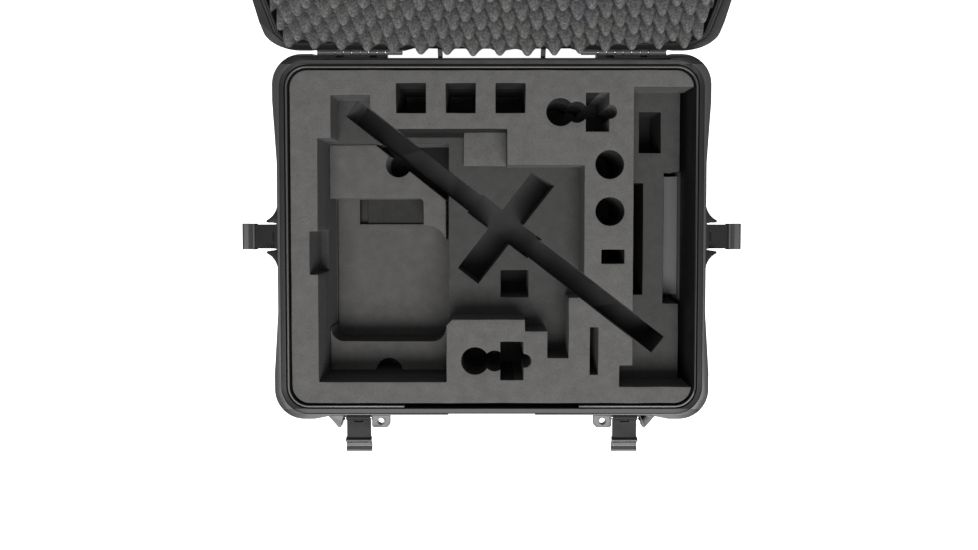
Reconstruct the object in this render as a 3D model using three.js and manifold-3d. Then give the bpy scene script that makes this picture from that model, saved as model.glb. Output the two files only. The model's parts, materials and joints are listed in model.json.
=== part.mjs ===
// Drone carrying case: a moulded shell with a hinged lid, four latches, a folding front handle,
// a purge valve, stacked cut foam in the base and egg-crate foam in the lid.
// Millimetres, +Z up. X runs along the hinge, the lid is hinged at +Y, the front handle is at -Y.
// The origin is the middle of the moulded pad under the base, on the floor.
import * as THREE from 'three';
import { mergeVertices } from 'three/addons/utils/BufferGeometryUtils.js';
import Module from 'manifold-3d';

const wasm = await Module();
wasm.setup();

// ---------- driving dimensions ----------
const GAP = 0.3;                      // clearance between neighbouring pieces
const RIM_Z = 160;                    // top of the base's lip
const OPEN_X = 264.2;                 // half width of the opening
const OPEN_Y = 219.4;                 // half depth of the opening
const OPEN_R = 25;                    // its corner radius
const WALL = 4.5;                     // shell thickness
const FLOOR_Z = 8;                    // inside floor of the base
const SKIN_Z = 3;                     // underside of the base, above its feet
const FLANGE_X = 283.7;               // half width over the flange at the corners
const FLANGE_Y = 237.3;
const FLANGE_R = 39;
const FLANGE_DIP = 5.2;               // how far the flange draws in between its corners
const FLANGE_DEPTH = 12;
const LID_TOP = 225;                  // top of the closed lid
const LID_SEAT = RIM_Z + 0.6;         // underside of the closed lid's flange
const HINGE_Y = 239.3;
const HINGE_Z = RIM_Z + 0.3;
const LID_OPEN = 114;                 // degrees from closed to the lid stop
const KNUCKLE_R = 3.7;
const PIN_R = 2;
const LATCH_X = 176.4;                // front latches, either side of the centre
const LATCH_W = 35;
const FRONT_PIVOT = 237.7;            // distance of the front latch pivots from the centre
const SIDE_PIVOT = 281.3;
const SIDE_LATCH_Y = 1.5;             // the side latches sit a little behind the middle
const PIVOT_Z = 147;
const FOAM_X = 261.8;                 // half width of the foam layers
const FOAM_Y = 217.2;
const FOAM_R = 23;
const FOAM_TOP = 156;
const GROOVE = [2.7, 4.4];            // groove round the rim's tongue, outwards from the opening
const STEP = 10.4;                    // the flange steps up again this far out
const SEAL_GROOVE = [2.6, 6.8];       // the lid's groove for its seal
const TOP_LAYER = 56;                 // thickness of the upper layer
const BLOCK_TOP = 76;                 // depth of the loose blocks below the foam's top
const PAD_TOP = 135;                  // depth of the bottom pad below the foam's top
const DRONE = { x: 19.5, y: 13.3, turn: -37.7 };   // centre and turn of the airframe slot

const topZ = (depth) => FOAM_TOP - depth;

// ---------- small solid-modelling kit ----------
function solid(geometry) {
  const bare = geometry.index ? geometry.clone() : mergeVertices(geometry.clone());
  bare.deleteAttribute('normal');
  bare.deleteAttribute('uv');
  const merged = mergeVertices(bare, 1e-4);
  return new wasm.Manifold(new wasm.Mesh({
    numProp: 3,
    vertProperties: new Float32Array(merged.attributes.position.array),
    triVerts: new Uint32Array(merged.index.array),
  }));
}

function geometryOf(manifold) {
  const mesh = manifold.getMesh();
  const geometry = new THREE.BufferGeometry();
  geometry.setAttribute('position', new THREE.BufferAttribute(new Float32Array(mesh.vertProperties), 3));
  geometry.setIndex(new THREE.BufferAttribute(new Uint32Array(mesh.triVerts), 1));
  geometry.computeVertexNormals();
  return geometry;
}

const union = (list) => list.reduce((sum, next) => sum.add(next));
const cut = (body, list) => list.reduce((rest, next) => rest.subtract(next), body);

function box(x0, x1, y0, y1, z0, z1) {
  const geometry = new THREE.BoxGeometry(x1 - x0, y1 - y0, z1 - z0);
  geometry.translate((x0 + x1) / 2, (y0 + y1) / 2, (z0 + z1) / 2);
  return solid(geometry);
}

function rounded(hx, hy, r) {
  const shape = new THREE.Shape();
  shape.moveTo(-hx + r, -hy);
  shape.lineTo(hx - r, -hy);
  shape.absarc(hx - r, -hy + r, r, -Math.PI / 2, 0, false);
  shape.lineTo(hx, hy - r);
  shape.absarc(hx - r, hy - r, r, 0, Math.PI / 2, false);
  shape.lineTo(-hx + r, hy);
  shape.absarc(-hx + r, hy - r, r, Math.PI / 2, Math.PI, false);
  shape.lineTo(-hx, -hy + r);
  shape.absarc(-hx + r, -hy + r, r, Math.PI, Math.PI * 1.5, false);
  return shape;
}

function extrude(shape, z0, z1, segments = 6) {
  const geometry = new THREE.ExtrudeGeometry(shape, {
    depth: z1 - z0, bevelEnabled: false, curveSegments: segments,
  });
  geometry.translate(0, 0, z0);
  return solid(geometry);
}

function prism(points, z0, z1) {
  return extrude(new THREE.Shape(points.map(([x, y]) => new THREE.Vector2(x, y))), z0, z1);
}

// A profile in the YZ plane, swept along X between two planes.
function profileX(points, x0, x1) {
  return prism(points, x0, x1).rotate([90, 0, 90]);
}

function drum(x, y, r, z0, z1, sides = 24) {
  const geometry = new THREE.CylinderGeometry(r, r, z1 - z0, sides);
  geometry.rotateX(Math.PI / 2);
  geometry.translate(x, y, (z0 + z1) / 2);
  return solid(geometry);
}

function rodX(x0, x1, y, z, r, sides = 16) {
  const geometry = new THREE.CylinderGeometry(r, r, x1 - x0, sides);
  geometry.rotateZ(Math.PI / 2);
  geometry.translate((x0 + x1) / 2, y, z);
  return solid(geometry);
}

// Closed solid through a stack of rounded rectangles, each [z, half x, half y, corner radius].
function loft(sections) {
  const rings = sections.map(([z, hx, hy, r]) => {
    const points = rounded(hx, hy, r).getPoints(5);
    points.pop();
    return { z, points };
  });
  const count = rings[0].points.length;
  const position = rings.flatMap(({ z, points }) => points.flatMap((p) => [p.x, p.y, z]));
  const index = [];
  for (let level = 0; level + 1 < rings.length; level += 1) {
    for (let i = 0; i < count; i += 1) {
      const a = level * count + i;
      const b = level * count + (i + 1) % count;
      index.push(a, b, b + count, a, b + count, a + count);
    }
  }
  const last = (rings.length - 1) * count;
  for (const [p, q, s] of THREE.ShapeUtils.triangulateShape(rings[0].points, [])) {
    index.push(s, q, p);
    index.push(last + p, last + q, last + s);
  }
  const geometry = new THREE.BufferGeometry();
  geometry.setAttribute('position', new THREE.Float32BufferAttribute(position, 3));
  geometry.setIndex(index);
  return solid(geometry);
}

const turned = (body, degrees) => body.rotate([0, 0, degrees]);
const bothSides = (make) => [-1, 1].map(make);

const GRIP_ROOM = 56.5;               // half width of the shallow recess above the handle

// ---------- the flange outline shared by base and lid ----------
// Full width at the corners, drawn in along each side by a shallow dip.
function flange(z0, z1) {
  const full = extrude(rounded(FLANGE_X, FLANGE_Y, FLANGE_R), z0, z1, 8);
  const slope = 26;
  const dips = [];
  for (const s of [-1, 1]) {
    const y = s * FLANGE_Y;
    const x = s * FLANGE_X;
    const front = FLANGE_X - 52;
    const side = FLANGE_Y - 60;
    dips.push(prism([
      [-front, y + s * 5], [-front, y], [-front + slope, y - s * FLANGE_DIP],
      [front - slope, y - s * FLANGE_DIP], [front, y], [front, y + s * 5],
    ], z0 - 1, z1 + 1));
    dips.push(prism([
      [x + s * 5, -side], [x, -side], [x - s * FLANGE_DIP, -side + 80],
      [x - s * FLANGE_DIP, side - 80], [x, side], [x + s * 5, side],
    ], z0 - 1, z1 + 1));
  }
  const front = -FLANGE_Y + FLANGE_DIP;
  dips.push(box(-GRIP_ROOM, GRIP_ROOM, front - 1, front + 1.6, z0 - 1, z1 + 1));
  return cut(full, dips);
}

function ringBand(outer, inner, z0, z1) {
  const grow = (d) => extrude(rounded(OPEN_X + d, OPEN_Y + d, OPEN_R + d), z0, z1, 6);
  return grow(outer).subtract(grow(inner));
}

// ---------- hinge barrels and pins ----------
const HINGE_START = 114.5;            // inner end of each barrel, from the centre
const KNUCKLE_GAP = 0.8;              // between neighbouring knuckles
const KNUCKLES = [23, 10.8, 10.8, 10.8, 10.8, 10.8, 10.8, 22];   // outer end first

function knuckleSpans(side) {
  let outer = HINGE_START + KNUCKLES.reduce((a, b) => a + b);
  return KNUCKLES.map((length) => {
    const span = [outer - length + KNUCKLE_GAP / 2, outer - KNUCKLE_GAP / 2].map((x) => x * side);
    outer -= length;
    return span.sort((a, b) => a - b);
  });
}

// Every second knuckle belongs to the base, the others to the lid.
function knuckles(first, webBottom, webTop) {
  return [-1, 1].flatMap((side) => knuckleSpans(side)
    .filter((_, i) => i % 2 === first)
    .map(([x0, x1]) => rodX(x0, x1, HINGE_Y, HINGE_Z, KNUCKLE_R)
      .add(box(x0, x1, FLANGE_Y - FLANGE_DIP - 2, HINGE_Y, webBottom, webTop))));
}

const hingeBore = () => bothSides((s) => rodX(
  Math.min(s * (HINGE_START - 1), s * (HINGE_START + 112)),
  Math.max(s * (HINGE_START - 1), s * (HINGE_START + 112)),
  HINGE_Y, HINGE_Z, PIN_R + GAP, 12));

// Along each barrel the flange reaches back to it, with a round relief for the other knuckles.
// The pad's inner end slopes back to the flange over the given length.
function hingePads(start, taper, z0, z1) {
  const y0 = FLANGE_Y - FLANGE_DIP - 2;
  const y1 = HINGE_Y - 0.5;
  const end = HINGE_START + KNUCKLES.reduce((a, b) => a + b);
  return bothSides((s) => prism([[start - taper, y0], [end, y0], [end, y1], [start, y1]]
    .map(([x, y]) => [s * x, y]), z0, z1));
}

// Under two of the lid's knuckles the base's pad is cut away.
const hingeNotches = () => [-1, 1].flatMap((side) => [1, 5].map((i) => {
  const [x0, x1] = knuckleSpans(side)[i];
  return box(x0, x1, FLANGE_Y - FLANGE_DIP + 0.5, HINGE_Y + 1, RIM_Z - 8, RIM_Z + 1);
}));

const hingeRelief = () => bothSides((side) => {
  const spans = knuckleSpans(side).flat();
  return rodX(Math.min(...spans) - GAP, Math.max(...spans) + GAP, HINGE_Y, HINGE_Z,
    KNUCKLE_R + GAP);
});

// ---------- base shell ----------
const GUARD_Z = PIVOT_Z - 8;          // lower edge of the guards beside the latches
const RECESS_Y = 84;                  // half length of the side recess
const RECESS_X = 246;                 // how far in its inner wall stands
const RECESS_Z = 58;

function latchEars(distance) {
  return bothSides((s) => {
    const x0 = LATCH_W / 2 + GAP;
    const ear = profileX([
      [-distance + 12, PIVOT_Z + 12], [-distance + 1, PIVOT_Z + 5], [-distance - 4, PIVOT_Z + 3],
      [-distance - 4, PIVOT_Z - 3], [-distance + 6, PIVOT_Z - 14], [-distance + 18, PIVOT_Z - 30],
      [-distance + 18, PIVOT_Z + 12],
    ], x0, x0 + 5);
    return s < 0 ? ear.mirror([1, 0, 0]) : ear;
  });
}

function latchBay(distance) {
  return box(-LATCH_W / 2 - GAP, LATCH_W / 2 + GAP, -distance - 30, -distance + 6.5,
    PIVOT_Z - 30, PIVOT_Z + 5.5);
}

const latchBore = (distance) => rodX(-LATCH_W / 2 - 6, LATCH_W / 2 + 6, -distance, PIVOT_Z,
  PIN_R + GAP, 12);

const FRONT_LATCHES = [{ x: -LATCH_X, turn: 0 }, { x: LATCH_X, turn: 0 }];
const SIDE_LATCHES = [{ x: 0, turn: 90 }, { x: 0, turn: -90 }];

function atLatches(make) {
  return [
    ...FRONT_LATCHES.map(({ x }) => make(FRONT_PIVOT).translate([x, 0, 0])),
    ...SIDE_LATCHES.map(({ turn }) => turned(make(SIDE_PIVOT), turn).translate([0, SIDE_LATCH_Y, 0])),
  ];
}

function padlockEars(z0, z1) {
  return bothSides((s) => cut(
    prism([[133.4, -226], [157, -226], [157, -246.5], [155, -248.5], [137, -248.5], [133.4, -245]]
      .map(([x, y]) => [s * x, y]), z0, z1),
    [drum(s * 145.2, -240.4, 4.2, z0 - 1, z1 + 1, 20)]));
}

// Pointed guards on the far side of the front latches.
function frontGuards(z0, z1) {
  return bothSides((s) => {
    const shape = new THREE.Shape();
    shape.moveTo(s * 218, -229);
    shape.quadraticCurveTo(s * 211, -237, s * 201, -248.5);
    shape.lineTo(s * 197.5, -248.5);
    shape.quadraticCurveTo(s * 196.5, -239, s * 192, -229);
    return extrude(shape, z0, z1, 5);
  });
}

// Flared guards on both sides of each side latch.
function sideGuards(z0, z1) {
  return bothSides((s) => union(bothSides((t) => {
    const shape = new THREE.Shape();
    shape.moveTo(s * 272, t * 18.3);
    shape.lineTo(s * 290.5, t * 18.3);
    shape.quadraticCurveTo(s * 293.5, t * 18.8, s * 292.8, t * 21.5);
    shape.quadraticCurveTo(s * 281, t * 27, s * 278.2, t * 42);
    shape.lineTo(s * 272, t * 42);
    return extrude(shape, z0, z1, 6);
  })).translate([0, SIDE_LATCH_Y, 0]));
}

const HANDLE_X = 82;                  // handle ears, either side of the centre
const HANDLE_Z = 122;
const HANDLE_Y = 232.5;

function handleEars() {
  return bothSides((s) => {
    const ear = profileX([
      [-FRONT_Y + 2, HANDLE_Z + 12], [-HANDLE_Y, HANDLE_Z + 7], [-HANDLE_Y - 6, HANDLE_Z + 4],
      [-HANDLE_Y - 6, HANDLE_Z - 4], [-HANDLE_Y, HANDLE_Z - 7], [-FRONT_Y + 2, HANDLE_Z - 14],
    ], HANDLE_X, HANDLE_X + 9);
    return s < 0 ? ear.mirror([1, 0, 0]) : ear;
  });
}

const FRONT_Y = OPEN_Y + WALL;        // outer face of the front wall at the flange
const VALVE = { x: -118, z: 96, r: 13 };

function baseOuter() {
  const tub = loft([
    [SKIN_Z, OPEN_X - 7, OPEN_Y - 7, OPEN_R + 1],
    [SKIN_Z + 3, OPEN_X - 2, OPEN_Y - 2, OPEN_R + 4],
    [SKIN_Z + 10, OPEN_X + 2.2, OPEN_Y + 2.2, OPEN_R + 6],
    [RIM_Z - 4, OPEN_X + WALL, OPEN_Y + WALL, OPEN_R + 6],
  ]);
  const pad = prism([[-70, -45], [70, -45], [70, 45], [-70, 45]], 0, SKIN_Z + 1);
  const skirt = loft([
    [RIM_Z - 34, OPEN_X + WALL - 2, OPEN_Y + WALL - 2, OPEN_R + 5],
    [RIM_Z - 30, OPEN_X + WALL + 3, OPEN_Y + WALL + 3, OPEN_R + 7],
    [RIM_Z - 4, OPEN_X + WALL + 3.5, OPEN_Y + WALL + 3.5, OPEN_R + 7],
  ]);
  return union([tub, pad, skirt, flange(RIM_Z - FLANGE_DEPTH, RIM_Z)]);
}

// Upright ribs that stiffen the walls under the flange.
function wallRibs() {
  const ribs = [];
  for (const side of [-1, 1]) {
    for (const x of [-232, -205, 205, 232]) {
      ribs.push(prism([[x - 4, side * (OPEN_Y - 4)], [x + 4, side * (OPEN_Y - 4)],
        [x + 4, side * 229], [x - 4, side * 229]], 24, RIM_Z - FLANGE_DEPTH + 2));
    }
    for (const y of [-190, -140, 140, 190]) {
      ribs.push(prism([[side * (OPEN_X - 4), y - 4], [side * (OPEN_X - 4), y + 4],
        [side * 272, y + 4], [side * 272, y - 4]], 24, RIM_Z - FLANGE_DEPTH + 2));
    }
  }
  for (const x of [-75, 0, 75]) {
    ribs.push(prism([[x - 4, OPEN_Y - 4], [x + 4, OPEN_Y - 4], [x + 4, 229], [x - 4, 229]],
      24, RIM_Z - FLANGE_DEPTH + 2));
  }
  return ribs;
}

// Side recess: a grip pocket outside, a ledge with a sloping top inside.
function recessBump(side) {
  const inner = profileX([
    [-RECESS_Y, FLOOR_Z - 2], [RECESS_Y, FLOOR_Z - 2], [RECESS_Y, RECESS_Z], [-RECESS_Y, RECESS_Z],
  ], RECESS_X, OPEN_X + 1);
  const slope = prism([[RECESS_X - 1, RECESS_Z - 10], [OPEN_X + 2, RECESS_Z - 1],
    [OPEN_X + 2, RECESS_Z + 5], [RECESS_X - 1, RECESS_Z + 5]], -RECESS_Y - 1, RECESS_Y + 1)
    .rotate([90, 0, 0]);
  const bump = inner.subtract(slope);
  return side < 0 ? bump.mirror([1, 0, 0]) : bump;
}

function recessPocket(side) {
  const half = RECESS_Y - WALL;
  const pocket = prism([[RECESS_X + WALL, -1], [OPEN_X + 20, -1], [OPEN_X + 20, RECESS_Z - 8],
    [OPEN_X, RECESS_Z - 8], [RECESS_X + WALL, RECESS_Z - 17]], -half, half).rotate([90, 0, 0]);
  return side < 0 ? pocket.mirror([1, 0, 0]) : pocket;
}

function baseShell() {
  const opening = loft([
    [FLOOR_Z, OPEN_X - 4, OPEN_Y - 4, OPEN_R - 2],
    [FLOOR_Z + 9, OPEN_X - 0.8, OPEN_Y - 0.8, OPEN_R],
    [RIM_Z + 5, OPEN_X, OPEN_Y, OPEN_R],
  ]);
  const hollow = cut(opening, bothSides(recessBump));
  const tub = union([baseOuter(), ...wallRibs(), ...atLatches(latchEarsOnly),
    ...padlockEars(RIM_Z - FLANGE_DEPTH, RIM_Z - 1), ...frontGuards(GUARD_Z, RIM_Z - 1),
    ...sideGuards(GUARD_Z, RIM_Z - 1), ...handleEars(), valveBoss(),
    ...hingePads(HINGE_START + 20, 0, RIM_Z - FLANGE_DEPTH, RIM_Z)]);
  const outer = cut(tub, [...hingeRelief(), ...hingeNotches()]).add(union(knuckles(0, RIM_Z - 8, RIM_Z - 1)));
  return cut(outer, [
    hollow,
    ...bothSides(recessPocket),
    ringBand(GROOVE[1], GROOVE[0], RIM_Z - 6, RIM_Z + 2),
    ringBand(STEP, GROOVE[0], RIM_Z - 0.9, RIM_Z + 2),
    frontGap(),
    ...atLatches(latchBay),
    ...atLatches(latchBore),
    ...hingeBore(),
    rodX(-HANDLE_X - 10, HANDLE_X + 10, -HANDLE_Y, HANDLE_Z, PIN_R + GAP, 12),
    valveHole(),
  ]);
}

// Along the middle of the front a deep slot takes the place of the tongue and its groove.
const frontGap = () => box(-114, 114, -OPEN_Y - GROOVE[1], -OPEN_Y + 1, RIM_Z - 28, RIM_Z + 2);
const latchEarsOnly = (distance) => union(latchEars(distance));
const valveBoss = () => drum(0, 0, VALVE.r + 3, -3, 1, 28).rotate([90, 0, 0])
  .translate([VALVE.x, -FRONT_Y + 2, VALVE.z]);
const valveHole = () => drum(0, 0, 8, -20, 20, 20).rotate([90, 0, 0])
  .translate([VALVE.x, -FRONT_Y, VALVE.z]);

// ---------- base foam ----------
// The airframe slot: one long arm, a shorter one across it and a wider middle.
function droneSlot(z0, z1, grow = 0) {
  const arm = box(-264.5 - grow, 264.5 + grow, -13.9 - grow, 13.9 + grow, z0, z1);
  const cross = box(-17.8 - grow, 17.8 + grow, -85 - grow, 85 + grow, z0, z1);
  const middle = box(-54, 49.5, -16.2, 16.8, z0, z1);
  return union([arm, cross, middle]).rotate([0, 0, DRONE.turn]).translate([DRONE.x, DRONE.y, 0]);
}

const POCKET = { left: -226.5, right: -59.2, front: -189.3, back: 129.5 };
const LANDING = { front: -106.9, back: 94.6, left: 20.2, right: 120.7, far: 141.6 };
const SIDE_TRAY = { left: 184.5, half: 195.5, step: 167.3, stepBack: -167.4 };
const BATTERY = { size: 38.6, pitch: 64.4, x: -104.5, y: 181.3 };
const CAMERA_WELLS = [{ x: 89, y: 163.2, reach: 21.5 }, { x: -21.8, y: -161.4, reach: 25.4 }];
const ROUND_WELLS = [{ x: 153.3, y: 95.5 }, { x: 154, y: 34.6 }];
const ROUND_WELL_R = 18.7;
const SMALL_WELLS = [{ x: [143.3, 173.1], y: [-33.9, -15.4] }, { x: [128.6, 139.5], y: [-179.7, -117.1] }];

function trayOpening(z0, z1) {
  const p = POCKET;
  const l = LANDING;
  return prism([
    [p.left, p.front], [p.right, p.front], [p.right, -114.5], [-51.7, l.front],
    [43.6, l.front], [43.6, -122.3], [72.9, -122.3], [72.9, -157.5], [100.7, -157.5],
    [100.7, -78], [l.right, -78], [l.right, l.back], [l.left, l.back], [l.left, l.far],
    [-157.8, l.far], [-157.8, 185], [-208.9, 185], [-208.9, p.back], [p.left, p.back],
    [p.left, 8.3], [-237.5, 8.3], [-237.5, -47.9], [p.left, -47.9],
  ], z0, z1);
}

function cameraWell(x, y, reach, z0, z1) {
  return union([
    drum(x, y, 18.2, z0, z1),
    drum(x + reach, y, 13.8, z0, z1, 20),
    box(x + 33.1, x + 63.4, y - 25.3, y + 25.2, z0, z1),
    drum(x + 64.6, y + 0.4, 9, z0, z1, 20),
  ]);
}

// Wells that go on down through the middle layer.
function deepWells(z0, z1) {
  const half = BATTERY.size / 2;
  const batteries = [0, 1, 2].map((i) => {
    const x = BATTERY.x + i * BATTERY.pitch;
    return box(x - half, x + half, BATTERY.y - half, BATTERY.y + half, z0, z1);
  });
  return [
    ...batteries,
    ...CAMERA_WELLS.map(({ x, y, reach }) => cameraWell(x, y, reach, z0, z1)),
    ...ROUND_WELLS.map(({ x, y }) => drum(x, y, ROUND_WELL_R, z0, z1)),
    ...SMALL_WELLS.map(({ x, y }) => box(...x, ...y, z0, z1)),
  ];
}

function foamTopLayer() {
  const z0 = topZ(TOP_LAYER) + GAP;
  const t = SIDE_TRAY;
  return cut(extrude(rounded(FOAM_X, FOAM_Y, FOAM_R), z0, FOAM_TOP), [
    trayOpening(z0 - 1, FOAM_TOP + 1),
    droneSlot(z0 - 1, FOAM_TOP + 1),
    ...deepWells(z0 - 1, FOAM_TOP + 1),
    box(t.left, FOAM_X + 1, -t.half, t.half, z0 - 1, FOAM_TOP + 1),
    box(t.step, t.left + 1, -t.half, t.stepBack, z0 - 1, FOAM_TOP + 1),
  ]);
}

const NOTCH_X = 244.5;                // foam stands clear of the side recesses
const NOTCH_Y = 91;

function sideNotches(z0, z1) {
  return [
    box(235, FOAM_X + 1, -NOTCH_Y - 1, NOTCH_Y - 2, z0, z1),
    box(-FOAM_X - 1, -NOTCH_X, -NOTCH_Y, NOTCH_Y, z0, z1),
  ];
}

function foamMiddleLayer() {
  const z0 = topZ(PAD_TOP) + GAP;
  const z1 = topZ(TOP_LAYER);
  const p = POCKET;
  return cut(extrude(rounded(FOAM_X, FOAM_Y, FOAM_R), z0, z1), [
    box(256.6, FOAM_X + 1, -FOAM_Y - 1, FOAM_Y + 1, z0 - 1, z1 + 1),
    box(p.left, p.right + 0.8, p.front, p.back - 2, z0 - 1, z1 + 1),
    box(-237.5, p.left + 1, -47.9, 8.3, topZ(BLOCK_TOP), z1 + 1),
    droneSlot(z0 - 1, z1 + 20),
    ...deepWells(z0 - 1, z1 + 1),
    box(12.4, 50.7, -83.4, -46, z0 - 1, z1 + 1),
    box(187, 207.5, -79.7, 73.1, z0 - 1, z1 + 1),
    box(200.8, 230.8, 114.1, 169.5, z0 - 1, z1 + 1),
    ...sideNotches(z0 - 1, z1 + 1),
  ]);
}

// A thin pad that raises part of the landing pocket's floor.
const foamStepPad = () => box(-37.8, LANDING.left - GAP, 95.8, LANDING.far - GAP,
  topZ(TOP_LAYER) + GAP, topZ(TOP_LAYER) + 10.5);

// The two loose blocks of the left pocket, with the wide opening between them.
function foamRearBlock() {
  const z0 = topZ(PAD_TOP) + GAP;
  const z1 = topZ(BLOCK_TOP);
  const left = POCKET.left + 1.5;
  const right = POCKET.right - 4.5;
  const shape = new THREE.Shape();
  shape.moveTo(left, 52.5);
  shape.lineTo(-101, 52.5);
  shape.absarc(-101, 46.3, 6.2, Math.PI / 2, 0, true);
  shape.lineTo(-94.8, 15.4);
  shape.absarc(-90, -12, 27, Math.PI / 2, 0.2, true);
  shape.lineTo(right, 50.3);
  shape.lineTo(-160.5, 126.6);
  shape.lineTo(left, 126.6);
  return extrude(shape, z0, z1).subtract(drum(-129.4, 98.9, 17.2, z0 - 1, z1 + 1));
}

function foamFrontBlock() {
  const z0 = topZ(PAD_TOP) + GAP;
  const z1 = topZ(BLOCK_TOP);
  const left = POCKET.left + 1.5;
  const right = POCKET.right - 4.5;
  const corner = 19;
  const y = -147.3;
  const shape = new THREE.Shape();
  shape.moveTo(left, POCKET.front + 1);
  shape.lineTo(right, POCKET.front + 1);
  shape.lineTo(right, y + corner);
  shape.absarc(right - corner, y + corner, corner, 0, -Math.PI / 2, true);
  shape.absarc(left + corner, y + corner, corner, -Math.PI / 2, -Math.PI, true);
  return extrude(shape, z0, z1).subtract(drum(-143.3, POCKET.front, 18.1, z0 - 1, z1 + 1));
}

function foamBottomPad() {
  const z0 = FLOOR_Z + GAP;
  const z1 = topZ(PAD_TOP);
  return cut(extrude(rounded(OPEN_X - 4.6, OPEN_Y - 4.6, FOAM_R), z0, z1), [
    ...sideNotches(z0 - 1, z1 + 1),
    box(-192.2, -99.4, 15.9, 51.5, z1 - 5, z1 + 1),
    box(-192.2, -181, 15.9, 51.5, z0 - 1, z1 + 1),
    box(-225.8, -224, -147, 52, z1 - 8, z1 + 1),
    droneSlot(z0 - 1, z1 + 1),
  ]);
}

// ---------- lid, modelled closed ----------
const LID_FOAM_DEPTH = 62.9;           // egg-crate foam, down to just above the base foam

function lidStopRib(x) {
  return profileX([
    [230, LID_SEAT + 0.6], [236, LID_SEAT + 0.4], [238.2, RIM_Z + 0.4], [246.9, 156.2],
    [251.4, 159.6], [242, 171], [230, 172],
  ], x - 3, x + 3);
}

function latchCatch(distance) {
  const z = LID_SEAT + FLANGE_DEPTH;
  return profileX([
    [-distance + 14, z - 10], [-distance + 4.5, z - 7], [-distance - 1.8, z - 3],
    [-distance - 1.8, z + 2.6], [-distance - 0.6, z + 3.2], [-distance + 14, z + 3.2],
  ], -LATCH_W / 2 - 4, LATCH_W / 2 + 4);
}

function lidShell() {
  const dome = loft([
    [LID_SEAT + 2, OPEN_X + WALL, OPEN_Y + WALL, OPEN_R + 6],
    [LID_TOP - 12, OPEN_X + 3, OPEN_Y + 3, OPEN_R + 6],
    [LID_TOP - 3.5, OPEN_X - 0.5, OPEN_Y - 0.5, OPEN_R + 5],
    [LID_TOP, OPEN_X - 8, OPEN_Y - 8, OPEN_R + 3],
  ]);
  const panel = loft([
    [LID_TOP - 1, 216, 172, 24], [LID_TOP + 2.5, 216, 172, 24], [LID_TOP + 4, 213, 169, 22],
  ]);
  const channels = [-120, -60, 0, 60, 120].map((x) => box(x - 5, x + 5, -150, 150,
    LID_TOP + 1.5, LID_TOP + 8));
  const roof = cut(panel, channels);
  const outer = union([dome, roof, flange(LID_SEAT, LID_SEAT + FLANGE_DEPTH),
    ...padlockEars(LID_SEAT, LID_SEAT + FLANGE_DEPTH - 2),
    ...hingePads(HINGE_START, 20, LID_SEAT, LID_SEAT + FLANGE_DEPTH), ...[-66.5, 66.5].map(lidStopRib)]);
  const hinged = cut(outer, hingeRelief()).add(union(knuckles(1, LID_SEAT + 0.4, LID_SEAT + 8)));
  const hollow = loft([
    [LID_SEAT - 5, OPEN_X, OPEN_Y, OPEN_R],
    [LID_TOP - 20, OPEN_X - 0.5, OPEN_Y - 0.5, OPEN_R],
    [LID_TOP - WALL, OPEN_X - 3, OPEN_Y - 3, OPEN_R],
  ]);
  return cut(hinged.add(union(atLatches(latchCatch))), [
    hollow,
    ringBand(SEAL_GROOVE[1], SEAL_GROOVE[0], LID_SEAT - 1, LID_SEAT + 6),
    ...hingeBore(),
  ]);
}

const lidSeal = () => ringBand(SEAL_GROOVE[1] - GAP, SEAL_GROOVE[0] + GAP,
  LID_SEAT + 0.2, LID_SEAT + 5.7);

function lidFoam() {
  const z1 = LID_TOP - WALL - GAP;
  return extrude(rounded(OPEN_X - 4, OPEN_Y - 4, FOAM_R), z1 - LID_FOAM_DEPTH, z1);
}

// ---------- latches ----------
// Section of a closed latch, with the pivot at (0, 0), outwards to -Y.
function latch() {
  const plateHalf = 16;
  const tabHalf = LATCH_W / 2 - GAP;
  const plate = profileX([
    [-3, -3], [-6, -3], [-7, 6], [-7, 30], [-3, 30],
  ], -plateHalf, plateHalf);
  const tab = profileX([
    [-7, 27.5], [-8.5, 33], [-10.8, 39], [-10.8, 44.5], [-8.8, 48.2], [-6, 48.2], [-5.6, 45.6],
    [-7.4, 40.5], [-6.4, 35.6], [-2, 33.4], [1.4, 32.8], [1.8, 31.4], [1.4, 29.8], [-2.6, 28.4],
    [-3, 27.5],
  ], -tabHalf, tabHalf);
  const barrel = rodX(-plateHalf, plateHalf, 0, 0, 4.4);
  const slot = box(-5.7, 5.7, -5, 6, 4.6, 7.2);
  return cut(union([plate, tab, barrel]),
    [rodX(-plateHalf - 1, plateHalf + 1, 0, 0, PIN_R + GAP, 12), slot]);
}

const latchPin = () => rodX(-LATCH_W / 2 - 5, LATCH_W / 2 + 5, 0, 0, PIN_R, 12);

// ---------- handle ----------
const GRIP_X = 52;                    // half length of the grip

function handleFrame() {
  const outer = prism([[-HANDLE_X + GAP, 5.5], [-HANDLE_X + GAP, -50], [-66, -66], [66, -66],
    [HANDLE_X - GAP, -50], [HANDLE_X - GAP, 5.5]], -5, 5);
  const inner = prism([[-70, 20], [-70, -44], [-60, -53], [60, -53], [70, -44], [70, 20]], -6, 6);
  return outer.subtract(inner).rotate([90, 0, 0])
    .subtract(rodX(-HANDLE_X - 1, HANDLE_X + 1, 0, 0, PIN_R + GAP, 12));
}

function handleGrip() {
  const sleeve = loft([[-GRIP_X, 7.5, 9, 4], [GRIP_X, 7.5, 9, 4]]).rotate([0, 90, 0])
    .rotate([90, 0, 0]);
  const core = box(-GRIP_X - 1, GRIP_X + 1, -5 - GAP, 5 + GAP, -6.5 - GAP, 6.5 + GAP);
  return sleeve.subtract(core).translate([0, 0, -59.5]);
}

function handlePin(side) {
  const x0 = side > 0 ? 70.5 : -HANDLE_X - 8.5;
  return rodX(x0, x0 + HANDLE_X + 8.5 - 70.5, 0, 0, PIN_R, 12);
}

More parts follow.
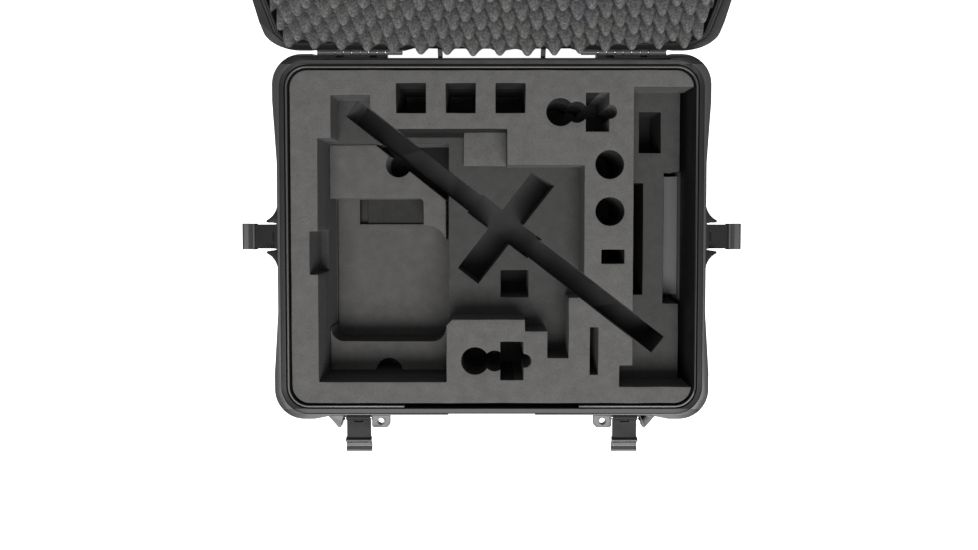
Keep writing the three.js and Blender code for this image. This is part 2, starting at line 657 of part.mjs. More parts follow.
// ---------- purge valve, its axis along Y ----------
function valveBody() {
  const body = union([drum(0, 0, 7.6, -3.8, 2, 20), drum(0, 0, VALVE.r, 2, 4, 28)]);
  return body.subtract(drum(0, 0, 3.5, -3, 6, 16)).rotate([90, 0, 0]);
}

function valveSeal() {
  return drum(0, 0, 12, 0.3, 1.7, 28).subtract(drum(0, 0, 7.6 + GAP, -1, 3, 20)).rotate([90, 0, 0]);
}

function valveKnob() {
  const cap = drum(0, 0, 10, 4 + GAP, 9.5, 12);
  return cap.add(drum(0, 0, 3.5 - GAP, 0, 5, 16)).rotate([90, 0, 0]);
}

// ---------- feet ----------
const foot = () => drum(0, 0, 11, 0, SKIN_Z - GAP, 20);

// ---------- materials ----------
const shellPlastic = new THREE.MeshStandardMaterial({ color: 0x2b2b2b, roughness: 0.6, metalness: 0 });
const latchPlastic = new THREE.MeshStandardMaterial({ color: 0x3a3a3a, roughness: 0.5, metalness: 0 });
const foamGrey = new THREE.MeshStandardMaterial({ color: 0x5c5c5b, roughness: 1, metalness: 0 });
const blockGrey = new THREE.MeshStandardMaterial({ color: 0x565655, roughness: 1, metalness: 0 });
const crateGrey = new THREE.MeshStandardMaterial({ color: 0x5c5a60, roughness: 1, metalness: 0 });
const rubber = new THREE.MeshStandardMaterial({ color: 0x1b1b1b, roughness: 0.8, metalness: 0 });
const steel = new THREE.MeshStandardMaterial({ color: 0xb4b4b2, roughness: 0.3, metalness: 1 });

// ---------- assembly ----------
const carryingCase = new THREE.Group();

function place(parent, name, body, material, position = [0, 0, 0], turn = 0) {
  const mesh = new THREE.Mesh(geometryOf(body), material);
  mesh.name = name;
  mesh.position.set(...position);
  mesh.rotation.z = THREE.MathUtils.degToRad(turn);
  parent.add(mesh);
  return mesh;
}

place(carryingCase, 'base_shell', baseShell(), shellPlastic);
place(carryingCase, 'foam_top_layer', foamTopLayer(), foamGrey);
place(carryingCase, 'foam_middle_layer', foamMiddleLayer(), foamGrey);
place(carryingCase, 'foam_step_pad', foamStepPad(), foamGrey);
place(carryingCase, 'foam_rear_block', foamRearBlock(), blockGrey);
place(carryingCase, 'foam_front_block', foamFrontBlock(), blockGrey);
place(carryingCase, 'foam_bottom_pad', foamBottomPad(), blockGrey);

// The lid's own frame turns about the hinge line, from closed to wide open.
const lidFrame = new THREE.Group();
lidFrame.position.set(0, HINGE_Y, HINGE_Z);
lidFrame.rotation.x = THREE.MathUtils.degToRad(-LID_OPEN);
carryingCase.add(lidFrame);
const closedLid = [0, -HINGE_Y, -HINGE_Z];
place(lidFrame, 'lid_shell', lidShell(), shellPlastic, closedLid);
place(lidFrame, 'lid_seal', lidSeal(), rubber, closedLid);
place(lidFrame, 'lid_foam', lidFoam(), crateGrey, closedLid);

for (const [side, name] of [[-1, 'left'], [1, 'right']]) {
  const length = KNUCKLES.reduce((a, b) => a + b);
  const x0 = side > 0 ? HINGE_START : -HINGE_START - length;
  place(carryingCase, `hinge_pin_${name}`, rodX(x0, x0 + length, HINGE_Y, HINGE_Z, PIN_R, 12), steel);
}

const LATCHES = [
  ['front_left', -LATCH_X, -FRONT_PIVOT, 0], ['front_right', LATCH_X, -FRONT_PIVOT, 0],
  ['side_right', SIDE_PIVOT, SIDE_LATCH_Y, 90], ['side_left', -SIDE_PIVOT, SIDE_LATCH_Y, -90],
];
for (const [name, x, y, turn] of LATCHES) {
  const frame = new THREE.Group();
  frame.position.set(x, y, PIVOT_Z);
  frame.rotation.z = THREE.MathUtils.degToRad(turn);
  carryingCase.add(frame);
  const swing = new THREE.Group();
  swing.rotation.x = Math.PI / 2;      // open, lying out level with the pivot
  frame.add(swing);
  place(swing, `latch_${name}`, latch(), latchPlastic);
  place(frame, `latch_pin_${name}`, latchPin(), steel);
}

const handleAt = [0, -HANDLE_Y, HANDLE_Z];
place(carryingCase, 'handle_frame', handleFrame(), latchPlastic, handleAt);
place(carryingCase, 'handle_grip', handleGrip(), rubber, handleAt);
place(carryingCase, 'handle_pin_left', handlePin(-1), steel, handleAt);
place(carryingCase, 'handle_pin_right', handlePin(1), steel, handleAt);

const valveAt = [VALVE.x, -FRONT_Y + 1, VALVE.z];
place(carryingCase, 'purge_valve_body', valveBody(), latchPlastic, valveAt);
place(carryingCase, 'purge_valve_seal', valveSeal(), rubber, valveAt);
place(carryingCase, 'purge_valve_knob', valveKnob(), latchPlastic, valveAt);

for (const [name, x, y] of [['front_left', -215, -172], ['front_right', 215, -172],
  ['rear_left', -215, 172], ['rear_right', 215, 172]]) {
  place(carryingCase, `foot_${name}`, foot(), rubber, [x, y, 0]);
}

export default carryingCase;
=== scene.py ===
"""Looks of the drone carrying case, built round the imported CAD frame. Metres, +Z up."""
import json
import math
from collections import namedtuple

import bmesh
import bpy
from mathutils import Matrix, Vector, noise


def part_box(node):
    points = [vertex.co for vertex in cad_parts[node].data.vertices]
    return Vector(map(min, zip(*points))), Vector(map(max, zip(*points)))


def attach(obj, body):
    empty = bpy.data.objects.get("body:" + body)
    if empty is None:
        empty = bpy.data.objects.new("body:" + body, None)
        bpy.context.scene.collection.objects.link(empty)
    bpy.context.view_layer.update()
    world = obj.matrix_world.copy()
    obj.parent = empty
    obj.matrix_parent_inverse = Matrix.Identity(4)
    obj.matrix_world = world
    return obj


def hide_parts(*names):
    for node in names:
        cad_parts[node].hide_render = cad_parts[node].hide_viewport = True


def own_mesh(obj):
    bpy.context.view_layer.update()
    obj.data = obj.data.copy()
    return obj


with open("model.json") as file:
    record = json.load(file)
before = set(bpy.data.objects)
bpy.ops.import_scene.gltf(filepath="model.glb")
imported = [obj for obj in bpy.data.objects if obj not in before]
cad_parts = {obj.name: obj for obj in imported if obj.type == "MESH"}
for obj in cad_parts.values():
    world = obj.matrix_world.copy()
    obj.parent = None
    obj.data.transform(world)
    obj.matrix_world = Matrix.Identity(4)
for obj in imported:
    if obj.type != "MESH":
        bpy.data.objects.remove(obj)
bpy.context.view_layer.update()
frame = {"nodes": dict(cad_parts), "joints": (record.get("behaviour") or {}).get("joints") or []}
MM = 0.001

NOISE_SEED = 7                         # the noise offsets differ from run to run without it
noise.seed_set(NOISE_SEED)

# ---------- driving sizes, in metres ----------
FOAM_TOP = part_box("foam_top_layer")[1].z
MIDDLE_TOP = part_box("foam_top_layer")[0].z - 0.3 * MM
HINGE = Vector(next(j["pos_m"] for j in frame["joints"] if j["name"] == "lid_hinge"))
LID_OPEN = math.radians(114)           # how far the lid stands open at rest
RIM_Z = HINGE.z - 0.3 * MM             # top of the base's flange

# ---------- view ----------
EYE = (-3.5 * MM, 35 * MM, FOAM_TOP + 1.081)
EYE_TILT = math.radians(-2.24)         # the camera looks almost straight down
SENSOR = 36.0                          # in millimetres, like the lens
LENS = 30.552147
LENS_SHIFT = -0.03220859
CLIP = (0.05, 60)
FLOOR_HALF = 30
FLOOR_TONE = 0.93
FLOOR_GLOW = 0.9                       # keeps the floor white in the picture
SKY = 0.3


# ---------- camera and light ----------
def make_camera():
    data = bpy.data.cameras.new("camera")
    camera = bpy.data.objects.new("camera", data)
    bpy.context.scene.collection.objects.link(camera)
    data.sensor_width = SENSOR
    data.lens = LENS
    data.shift_y = LENS_SHIFT
    data.clip_start, data.clip_end = CLIP
    camera.location = EYE
    camera.rotation_euler = (EYE_TILT, 0, 0)
    bpy.context.scene.camera = camera


def area_light(name, place, aim, size, power):
    data = bpy.data.lights.new(name, "AREA")
    data.shape = "RECTANGLE"
    data.size, data.size_y = size
    data.energy = power
    lamp = bpy.data.objects.new(name, data)
    bpy.context.scene.collection.objects.link(lamp)
    lamp.location = place
    lamp.rotation_euler = (Vector(aim) - Vector(place)).to_track_quat("-Z", "Y").to_euler()


def make_light():
    world = bpy.data.worlds.new("studio")
    bpy.context.scene.world = world
    world.use_nodes = True
    background = world.node_tree.nodes["Background"]
    background.inputs["Color"].default_value = (1, 1, 1, 1)
    background.inputs["Strength"].default_value = SKY
    area_light("key", (0.2, -1.95, 4.3), (0, 0, 0.1), (3.0, 2.2), 272)
    area_light("top", (0, 0.3, 3.2), (0, 0, 0), (1.6, 1.6), 3)
    bpy.context.scene.view_settings.view_transform = "Standard"


def make_floor():
    mesh = bpy.data.meshes.new("floor")
    corners = [(x * FLOOR_HALF, y * FLOOR_HALF, 0) for x, y in ((-1, -1), (1, -1), (1, 1), (-1, 1))]
    mesh.from_pydata(corners, [], [(0, 1, 2, 3)])
    floor = bpy.data.objects.new("floor", mesh)
    bpy.context.scene.collection.objects.link(floor)
    material = bpy.data.materials.new("floor_white")
    material.use_nodes = True
    shader = material.node_tree.nodes["Principled BSDF"]
    shader.inputs["Base Color"].default_value = (*[FLOOR_TONE] * 3, 1)
    shader.inputs["Roughness"].default_value = 0.9
    shader.inputs["Emission Color"].default_value = (1, 1, 1, 1)
    shader.inputs["Emission Strength"].default_value = FLOOR_GLOW
    mesh.materials.append(material)


# ---------- material kit ----------
EDGE_FADE = 0.1 * MM                   # width over which a patch's edge fades out

# A box of painted highlight, smoother and paler than the plastic around it, where light catches the
# surface.
PaintedHighlight = namedtuple("PaintedHighlight", "low high level roughness gloss fade upward", defaults=(EDGE_FADE, False))

# A box of painted shade, where foam keeps only a share of its tone, as if in shadow.
PaintedShade = namedtuple("PaintedShade", "low high share")


class Nodes:
    """Short names for the node graph of one material, in object coordinates."""

    def __init__(self, name):
        self.material = bpy.data.materials.new(name)
        self.material.use_nodes = True
        self.tree = self.material.node_tree
        self.shader = self.tree.nodes["Principled BSDF"]
        self.place = self.tree.nodes.new("ShaderNodeTexCoord").outputs["Object"]

    def add(self, kind, **values):
        node = self.tree.nodes.new(kind)
        for key, value in values.items():
            if key in node.inputs:
                self.feed(node.inputs[key], value)
            else:
                setattr(node, key, value)
        return node

    def feed(self, socket, value):
        if isinstance(value, bpy.types.NodeSocket):
            self.tree.links.new(value, socket)
        else:
            socket.default_value = value

    def set(self, socket, value):
        self.feed(self.shader.inputs[socket], value)

    def noise(self, scale, detail=4.0, roughness=0.5, stretch=None):
        vector = self.place
        if stretch:
            mapping = self.add("ShaderNodeMapping")
            self.feed(mapping.inputs["Vector"], self.place)
            mapping.inputs["Scale"].default_value = stretch
            vector = mapping.outputs["Vector"]
        node = self.add("ShaderNodeTexNoise", Scale=scale, Detail=detail, Roughness=roughness)
        self.feed(node.inputs["Vector"], vector)
        return node.outputs["Fac"]

    def cells(self, scale):
        node = self.add("ShaderNodeTexVoronoi", Scale=scale)
        self.feed(node.inputs["Vector"], self.place)
        return node.outputs["Distance"]

    def ramp(self, fac, stops):
        node = self.add("ShaderNodeValToRGB")
        self.feed(node.inputs["Fac"], fac)
        ramp = node.color_ramp
        while len(ramp.elements) < len(stops):
            ramp.elements.new(0.5)
        for element, (position, colour) in zip(ramp.elements, stops):
            element.position = position
            element.color = (*colour, 1)
        return node.outputs["Color"]

    def mix(self, fac, a, b, blend="MIX"):
        node = self.tree.nodes.new("ShaderNodeMix")
        node.data_type = "RGBA"
        node.blend_type = blend
        self.feed(node.inputs[0], fac)
        for socket, value in ((node.inputs[6], a), (node.inputs[7], b)):
            self.feed(socket, (*value, 1) if isinstance(value, tuple) else value)
        return node.outputs[2]

    def maths(self, operation, a, b):
        node = self.tree.nodes.new("ShaderNodeMath")
        node.operation = operation
        self.feed(node.inputs[0], a)
        self.feed(node.inputs[1], b)
        return node.outputs[0]

    def facing_up(self):
        """From -1 where a surface looks down to 1 where it looks up."""
        split = self.add("ShaderNodeSeparateXYZ")
        self.feed(split.inputs[0], self.add("ShaderNodeNewGeometry").outputs["Normal"])
        return split.outputs[2]

    def inside(self, low, high, fade=EDGE_FADE, upward=False):
        """1 inside a box given in metres, 0 outside it, with a fade along X past its ends.
        upward leaves out the surfaces that look down."""
        split = self.add("ShaderNodeSeparateXYZ")
        self.feed(split.inputs[0], self.place)
        product = 1.0
        for axis, width in enumerate((fade, EDGE_FADE, EDGE_FADE)):
            past_low = self.maths("SUBTRACT", low[axis], split.outputs[axis])
            past_high = self.maths("SUBTRACT", split.outputs[axis], high[axis])
            past = self.maths("MAXIMUM", self.maths("MAXIMUM", past_low, past_high), 0)
            share = self.maths("SUBTRACT", 1, self.maths("DIVIDE", past, width))
            product = self.maths("MULTIPLY", product, self.maths("MAXIMUM", share, 0))
        if upward:
            looks_up = self.maths("GREATER_THAN", self.facing_up(), 0)
            product = self.maths("MULTIPLY", product, looks_up)
        return product

    def bump(self, height, strength, distance, under=None):
        node = self.add("ShaderNodeBump", Strength=strength, Distance=distance)
        self.feed(node.inputs["Height"], height)
        if under is not None:
            self.feed(node.inputs["Normal"], under)
        return node.outputs["Normal"]


def grey(level, warm=0.0):
    """A grey, more red than blue by the share warm."""
    return (level * (1 + warm), level, level * (1 - warm))


# ---------- materials ----------
def foam_material(name, level, warm=0.02, cell=900, coarse=60, depth=0.35, painted_shade_boxes=()):
    """Closed-cell foam: fine pores and broad mottling, with painted shade on faces that look sideways
    or down.
    The boxes in the last argument hold painted shade: inside them the foam keeps only a share of its
    tone, gloss and sheen."""
    n = Nodes(name)
    mottled = n.ramp(n.noise(coarse, 5, 0.6), [
        (0.3, grey(level * 0.88, warm)), (0.7, grey(level * 1.1, warm))])
    grain = n.ramp(n.noise(cell, 3, 0.7), [
        (0.32, grey(0.62)), (0.5, grey(1.0)), (0.72, grey(1.25))])
    pores = n.ramp(n.cells(cell * 0.9), [(0.0, grey(0.55)), (0.35, grey(1.0))])
    colour = n.mix(0.75, mottled, grain, "MULTIPLY")
    colour = n.mix(0.45, colour, pores, "MULTIPLY")
    # painted shade: faces that look sideways or down are darkened, as if out of the light
    painted_wall_shade = n.ramp(n.facing_up(), [(0.2, grey(0.3)), (0.8, grey(1.0))])
    colour = n.mix(1.0, colour, painted_wall_shade, "MULTIPLY")
    gloss, sheen = 0.18, 0.08
    # painted shade in the wells and slots: colour, gloss and sheen are cut to the box's share
    if painted_shade_boxes:
        shade = 1.0
        for low, high, share in painted_shade_boxes:
            kept = n.maths("SUBTRACT", 1, n.maths("MULTIPLY", n.inside(low, high), 1 - share))
            shade = n.maths("MULTIPLY", shade, kept)
        colour = n.mix(1.0, colour, shade, "MULTIPLY")
        gloss = n.maths("MULTIPLY", shade, gloss)
        sheen = n.maths("MULTIPLY", shade, sheen)
    n.set("Base Color", colour)
    n.set("Roughness", 0.96)
    n.set("Specular IOR Level", gloss)
    fine = n.bump(n.cells(cell), depth, 0.5 * MM)
    n.set("Normal", n.bump(n.noise(cell * 0.35, 4, 0.6), depth, 0.5 * MM, fine))
    n.set("Sheen Weight", sheen)
    n.set("Sheen Roughness", 0.6)
    return n.material


def crate_material(name, level):
    """Open-cell foam with a violet cast, with painted shade in the valleys and painted highlights on
    the peaks.
    """
    n = Nodes(name)
    crest = n.add("ShaderNodeAttribute", attribute_name="crest").outputs["Fac"]
    # painted shade down in the valleys and painted highlight on the peaks, from the crest attribute
    painted_valley_shade_and_peak_highlight = n.ramp(crest, [
        (0.0, grey(level * 0.3)), (0.55, grey(level * 0.85)), (1.0, grey(level * 1.35))])
    cells = n.ramp(n.noise(400, 3, 0.8), [(0.36, grey(0.4)), (0.5, grey(0.95)), (0.64, grey(1.7))])
    patches = n.ramp(n.noise(26, 4, 0.6), [(0.32, (0.97, 0.94, 1.0)), (0.68, (1.03, 1.02, 0.97))])
    n.set("Base Color", n.mix(1.0, n.mix(0.8, painted_valley_shade_and_peak_highlight, cells, "MULTIPLY"), patches, "MULTIPLY"))
    n.set("Roughness", 0.97)
    n.set("Specular IOR Level", 0.15)
    n.set("Normal", n.bump(n.noise(700, 3, 0.7), 0.7, 0.9 * MM))
    return n.material


def plastic_material(name, level, roughness=0.5, grain=1400, depth=0.12, gloss=0.25, painted_highlights=()):
    """Moulded plastic with a spark-eroded grain, paler on its sharp edges.
    The boxes in the last argument are painted highlights, paler, smoother and glossier than the
    plastic around them."""
    n = Nodes(name)
    base = n.ramp(n.noise(9, 6, 0.6), [
        (0.3, grey(level * 0.9, 0.01)), (0.7, grey(level * 1.12, 0.01))])
    specks = n.ramp(n.noise(grain, 2, 0.5), [(0.35, grey(0.86)), (0.65, grey(1.12))])
    # paler on sharp edges, found by pointiness
    edge = n.add("ShaderNodeNewGeometry").outputs["Pointiness"]
    edge_paling = n.ramp(edge, [(0.5, grey(0.0)), (0.56, grey(1.0))])
    colour = n.mix(edge_paling, n.mix(0.6, base, specks, "MULTIPLY"), grey(level * 1.7, 0.01))
    rough = n.ramp(n.noise(28, 5, 0.65), [
        (0.3, grey(roughness - 0.07)), (0.7, grey(roughness + 0.09))])
    shine = grey(gloss)
    # painted highlights: each box is paler, smoother and glossier
    for patch in painted_highlights:
        mask = n.inside(patch.low, patch.high, patch.fade, patch.upward)
        colour = n.mix(mask, colour, grey(patch.level, 0.01))
        rough = n.mix(mask, rough, grey(patch.roughness))
        shine = n.mix(mask, shine, grey(patch.gloss))
    n.set("Base Color", colour)
    n.set("Roughness", rough)
    n.set("Specular IOR Level", shine if painted_highlights else gloss)
    n.set("Normal", n.bump(n.noise(grain, 3, 0.6), depth, 0.4 * MM))
    return n.material


def rubber_material(name, level, roughness=0.75):
    """Dull rubber, a little uneven in tone."""
    n = Nodes(name)
    n.set("Base Color", n.ramp(n.noise(120, 4, 0.6), [
        (0.3, grey(level * 0.8)), (0.7, grey(level * 1.3))]))
    n.set("Roughness", n.ramp(n.noise(60, 3), [
        (0.3, grey(roughness - 0.08)), (0.7, grey(roughness + 0.08))]))
    n.set("Normal", n.bump(n.noise(900, 3), 0.15, 0.3 * MM))
    return n.material


def steel_material(name):
    """Drawn steel, with marks along X."""
    n = Nodes(name)
    n.set("Metallic", 1.0)
    n.set("Base Color", n.ramp(n.noise(90, 3, 0.5), [
        (0.3, grey(0.5, 0.01)), (0.7, grey(0.68, 0.01))]))
    n.set("Roughness", n.ramp(n.noise(400, 2, 0.5, stretch=(0.05, 1, 1)), [
        (0.3, grey(0.2)), (0.7, grey(0.38))]))
    return n.material


BARREL_R = 4.2 * MM                    # just round the hinge knuckles
SIDE = 300 * MM                        # past the shell at either side
# tone, roughness and gloss of the painted highlight on the latch tabs
TAB_PAINTED_HIGHLIGHT = (0.035, 0.3, 0.6)

# Painted highlights where light catches the shell: the ledge in the right wall, the hinge barrels,
# the rim and the front of the flange.
LEDGE = PaintedHighlight((0.243, -0.09, 0.03), (0.268, 0.09, 0.075), 0.15, 0.45, 0.4, upward=True)
BARRELS = PaintedHighlight((-SIDE, HINGE.y - BARREL_R, HINGE.z - BARREL_R),
                (SIDE, HINGE.y + BARREL_R, HINGE.z + BARREL_R), 0.045, 0.42, 0.3)
RIM = PaintedHighlight((-SIDE, -0.224, RIM_Z - 0.5 * MM), (SIDE, 0.224, RIM_Z + 0.2 * MM), 0.04, 0.34, 0.5)
FRONT = PaintedHighlight((-0.24, -0.25, RIM_Z - 2 * MM), (0.24, -0.2238, RIM_Z + 0.2 * MM),
              0.085, 0.4, 0.4, fade=35 * MM)
FRONT_TABS = PaintedHighlight((-SIDE, -0.31, 0), (SIDE, -0.2655, 0.2), *TAB_PAINTED_HIGHLIGHT)
LEFT_TAB = PaintedHighlight((-0.4, -0.1, 0), (-0.3095, 0.1, 0.2), *TAB_PAINTED_HIGHLIGHT)
RIGHT_TAB = PaintedHighlight((0.3095, -0.1, 0), (0.4, 0.1, 0.2), *TAB_PAINTED_HIGHLIGHT)

# Painted shade in the deep wells and slots of the foam, standing in for their shadow.
WELL_TOP = FOAM_TOP - 3 * MM
SIDE_TOP = MIDDLE_TOP - 2 * MM
TOP_WELLS = [
    PaintedShade((-0.1245, 0.135, 0), (0.14, 0.202, WELL_TOP), 0.3),       # along the back
    PaintedShade((0.125, -0.035, 0), (0.174, 0.115, WELL_TOP), 0.3),       # the round wells
    PaintedShade((-0.062, -0.19, 0), (0.03, -0.135, WELL_TOP), 0.5),       # camera well at the front
]
SIDE_WELLS = [
    PaintedShade((0.1865, -0.0803, 0), (0.208, 0.0737, SIDE_TOP), 0.15),   # long slot of the side tray
    PaintedShade((0.2003, 0.1136, 0), (0.2313, 0.17, SIDE_TOP), 0.3),      # well of the side tray
]
PAD_CUTS = SIDE_WELLS + [
    PaintedShade((-0.1925, 0.0155, 0), (-0.099, 0.0518, FOAM_TOP), 0.42),  # finger slot
    PaintedShade((-0.161, 0.0525, 0), (-0.058, 0.1285, FOAM_TOP), 0.17),   # beside the rear block
    PaintedShade((0.012, -0.084, 0), (0.051, -0.0455, FOAM_TOP), 0.4),     # square well
]

SHELL = plastic_material("shell_plastic", 0.012, roughness=0.4, gloss=0.16,
                         painted_highlights=(LEDGE, BARRELS, RIM, FRONT))
LID_SHELL = plastic_material("lid_plastic", 0.008, roughness=0.45, gloss=0.1, painted_highlights=(BARRELS,))
LATCH = plastic_material("latch_plastic", 0.012, roughness=0.42, grain=1800, depth=0.05,
                         gloss=0.12, painted_highlights=(FRONT_TABS, LEFT_TAB, RIGHT_TAB))
HANDLE = plastic_material("handle_plastic", 0.016, roughness=0.45, gloss=0.35)
TOP_FOAM = foam_material("top_foam", 0.094, painted_shade_boxes=TOP_WELLS)
MIDDLE_FOAM = foam_material("middle_foam", 0.047, painted_shade_boxes=TOP_WELLS + SIDE_WELLS)
STEP_FOAM = foam_material("step_foam", 0.09)
BLOCK_FOAM = foam_material("block_foam", 0.086, warm=0.025)
PAD_FOAM = foam_material("pad_foam", 0.078, warm=0.025, painted_shade_boxes=PAD_CUTS)
CRATE_FOAM = crate_material("crate_foam", 0.082)
SEAL = rubber_material("seal_rubber", 0.004)
GRIP = rubber_material("grip_rubber", 0.02)
FOOT = rubber_material("foot_rubber", 0.018)
STEEL = steel_material("pin_steel")


# ---------- mesh kit ----------
def new_piece(name, bm, material, body, nodes, smooth):
    """One visible piece that rides on a body in place of its CAD nodes; smooth is in degrees."""
    mesh = bpy.data.meshes.new(name)
    bm.to_mesh(mesh)
    bm.free()
    mesh.materials.append(material)
    mesh.validate()
    piece = bpy.data.objects.new(name, mesh)
    bpy.context.scene.collection.objects.link(piece)
    mesh.shade_smooth()
    mesh.set_sharp_from_angle(angle=math.radians(smooth))
    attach(piece, body)
    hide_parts(*nodes)
    return piece


WELD = 0.02 * MM
FLAT = math.radians(1.5)               # faces that turn by less than this are one flat face


def clean_copy(node, joined=True):
    """A node's surface as a bmesh with shared corners and, if joined, flat faces joined up."""
    bm = bmesh.new()
    bm.from_mesh(frame["nodes"][node].data)
    bmesh.ops.remove_doubles(bm, verts=bm.verts, dist=WELD)
    if joined:
        bmesh.ops.dissolve_limit(bm, angle_limit=FLAT, verts=bm.verts, edges=bm.edges)
    bm.normal_update()
    return bm


def soften(bm, width, segments=2, angle=28):
    """Rounds every edge that turns by more than the angle."""
    sharp = [e for e in bm.edges if len(e.link_faces) == 2
             and e.calc_face_angle(0) > math.radians(angle)]
    bmesh.ops.bevel(bm, geom=sharp, offset=width, segments=segments, profile=0.5,
                    affect="EDGES", clamp_overlap=False, offset_type="OFFSET")
    bm.normal_update()


def refined(node, name, material, body, width=0.5 * MM, segments=2, joined=True,
            smooth=21):
    """A hard piece: its CAD node with rounded edges."""
    bm = clean_copy(node, joined)
    soften(bm, width, segments)
    return new_piece(name, bm, material, body, [node], smooth)


def subdivide_to(bm, longest):
    """Splits edges until none is longer, in at most seven rounds."""
    bmesh.ops.triangulate(bm, faces=bm.faces)
    for _ in range(7):
        edges = [e for e in bm.edges if e.calc_length() > longest]
        if not edges:
            break
        bmesh.ops.subdivide_edges(bm, edges=edges, cuts=1)
        bmesh.ops.triangulate(bm, faces=[f for f in bm.faces if len(f.verts) > 3])
    bm.normal_update()


def ripple(bm, amount, scale):
    """Small smooth unevenness, as foam has when it is cut by hand."""
    for v in bm.verts:
        v.co += noise.noise_vector(v.co * scale) * amount


def foam_piece(node, name, material):
    """A cut sheet or block of the base foam, with soft edges and slightly uneven faces."""
    bm = clean_copy(node)
    soften(bm, width=0.9 * MM, angle=20)
    subdivide_to(bm, longest=14 * MM)
    ripple(bm, amount=0.45 * MM, scale=28)
    piece = new_piece(name, bm, material, "base", [node], smooth=40)
    return piece


# ---------- pieces ----------
def closed_to_open(point):
    """From the lid's closed place to where it rests, open on its stops."""
    return Matrix.Rotation(-LID_OPEN, 4, "X") @ (point - HINGE) + HINGE


CRATE_PITCH = 33 * MM                 # between peaks in a row; the rows stand half as far apart
CRATE_SKEW = 0.14                     # how far the rows drift sideways
CRATE_ROOF = 0.2198                   # back of the sheet, in the closed lid
CRATE_HALF = (0.2598, 0.2158)
CRATE_FIRST = (0.0105, 0.209)         # one peak of the row nearest the hinge
CRATE_GRID = (260, 216)
CRATE_ROUNDING = 1.22                 # over 1 makes the peaks blunter and the valleys narrower
CRATE_LEAN = 2.2 * MM                 # how far a peak strays from its place
PEAK = 30 * MM                        # from the valleys to the peaks
PEAK_Z = 0.1435                       # ends of the peaks, in the closed lid
SAG = 9.5 * MM                        # how much lower they hang half-way along the hinge side
SAG_HALF = (0.21, 0.12)               # how far the sag reaches, along the hinge and away from it
CORNER_LIFT = 5 * MM                  # how much shorter they are at the ends of the rows
CORNER_START = 0.2                    # where the rows begin to shorten, from the middle
CORNER_RUN = 0.06
WOBBLE = 1.3 * MM                     # unevenness of the peaks
WOBBLE_SCALE = 26
LEAN_SCALE = 17


def crate_crest(x, y):
    """From 0 in a valley to 1 on a peak of the staggered rows."""
    turn = 2 * math.pi / CRATE_PITCH
    across = (x - CRATE_FIRST[0] + CRATE_SKEW * (CRATE_FIRST[1] - y)) * turn
    along = (y - CRATE_FIRST[1]) * turn
    wave = 0.5 + 0.5 * math.cos(across) * math.cos(along)
    return 1 - (1 - wave) ** CRATE_ROUNDING


def crate_face(x, y):
    """Height of the foam's face in the closed lid: its peaks hang lowest mid-way along X."""
    middle = max(0.0, 1 - (x / SAG_HALF[0]) ** 2)
    hinge_side = math.exp(-((CRATE_HALF[1] - y) / SAG_HALF[1]) ** 2)
    sag = SAG * middle ** 1.5 * hinge_side
    corner = CORNER_LIFT * max(0.0, (abs(x) - CORNER_START) / CORNER_RUN) ** 2
    wobble = WOBBLE * noise.noise(Vector((x * WOBBLE_SCALE, y * WOBBLE_SCALE, 3)))
    return PEAK_Z + corner - sag + wobble


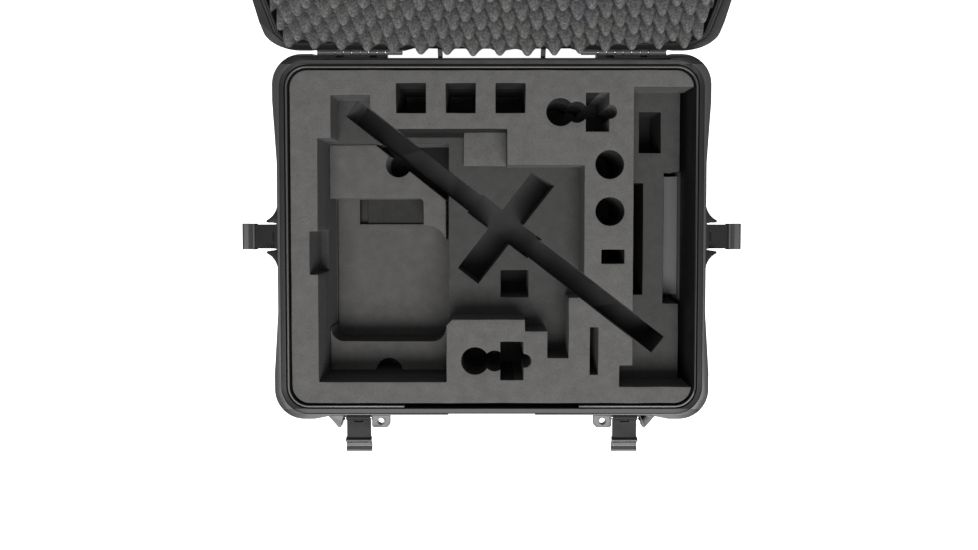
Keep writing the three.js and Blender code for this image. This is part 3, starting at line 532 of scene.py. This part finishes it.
def egg_crate():
    """Convoluted foam that hangs a little at the hinge side."""
    nx, ny = CRATE_GRID
    bm = bmesh.new()
    crest = bm.verts.layers.float.new("crest")
    grid = []
    for j in range(ny + 1):
        row = []
        for i in range(nx + 1):
            x = CRATE_HALF[0] * (2 * i / nx - 1)
            y = CRATE_HALF[1] * (2 * j / ny - 1)
            lean = noise.noise_vector(Vector((x * LEAN_SCALE, y * LEAN_SCALE, 9))) * CRATE_LEAN
            rise = crate_crest(x + lean.x, y + lean.y)
            vert = bm.verts.new((x, y, crate_face(x, y) + PEAK * (1 - rise)))
            vert[crest] = rise
            row.append(vert)
        grid.append(row)
    for j in range(ny):
        for i in range(nx):
            bm.faces.new((grid[j][i], grid[j + 1][i], grid[j + 1][i + 1], grid[j][i + 1]))
    (x0, x1), (y0, y1) = [(-half, half) for half in CRATE_HALF]
    roof = [bm.verts.new((x, y, CRATE_ROOF)) for x, y in ((x0, y0), (x1, y0), (x1, y1), (x0, y1))]
    rims = [grid[0], [row[-1] for row in grid], grid[-1][::-1], [row[0] for row in grid][::-1]]
    for k, rim in enumerate(rims):
        bm.faces.new([roof[k], *rim, roof[(k + 1) % 4]])
    bm.faces.new(roof[::-1])
    bmesh.ops.recalc_face_normals(bm, faces=bm.faces)
    for v in bm.verts:
        v.co = closed_to_open(v.co)
    piece = new_piece("lid_egg_crate_foam", bm, CRATE_FOAM, "lid", ["lid_foam"], 60)
    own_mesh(piece)


def make_shells():
    refined("base_shell", "base_shell_moulding", SHELL, "base", 0.7 * MM, joined=False)
    refined("lid_shell", "lid_shell_moulding", LID_SHELL, "lid", 0.7 * MM, joined=False)


def make_base_foam():
    foam_piece("foam_top_layer", "foam_top_sheet", TOP_FOAM)
    foam_piece("foam_middle_layer", "foam_middle_sheet", MIDDLE_FOAM)
    foam_piece("foam_step_pad", "foam_raised_pad", STEP_FOAM)
    foam_piece("foam_rear_block", "foam_block_rear", BLOCK_FOAM)
    foam_piece("foam_front_block", "foam_block_front", BLOCK_FOAM)
    foam_piece("foam_bottom_pad", "foam_floor_pad", PAD_FOAM)


def make_latches():
    for corner in ("front_left", "front_right", "side_left", "side_right"):
        refined("latch_" + corner, "latch_body_" + corner, LATCH, "latch_" + corner,
                smooth=9)
        refined("latch_pin_" + corner, "latch_rod_" + corner, STEEL, "base", 0.3 * MM)


def make_hinge_and_handle():
    for side in ("left", "right"):
        refined("hinge_pin_" + side, "hinge_rod_" + side, STEEL, "base", 0.3 * MM)
        refined("handle_pin_" + side, "handle_rod_" + side, STEEL, "base", 0.3 * MM)
    refined("handle_frame", "handle_bow", HANDLE, "handle", 1.5 * MM, 3)
    refined("handle_grip", "handle_sleeve", GRIP, "handle", 0.8 * MM, 3)


def make_valve():
    refined("purge_valve_body", "valve_body", HANDLE, "base", 0.4 * MM)
    refined("purge_valve_seal", "valve_gasket", SEAL, "base", 0.3 * MM)
    refined("purge_valve_knob", "valve_cap", HANDLE, "valve_knob", 0.5 * MM)


def make_feet():
    for corner in ("front_left", "front_right", "rear_left", "rear_right"):
        refined("foot_" + corner, "foot_pad_" + corner, FOOT, "base", 0.6 * MM)


make_camera()
make_light()
make_floor()
make_shells()
make_base_foam()
egg_crate()
refined("lid_seal", "lid_seal_ring", SEAL, "lid", 0.8 * MM, 3)
make_latches()
make_hinge_and_handle()
make_valve()
make_feet()
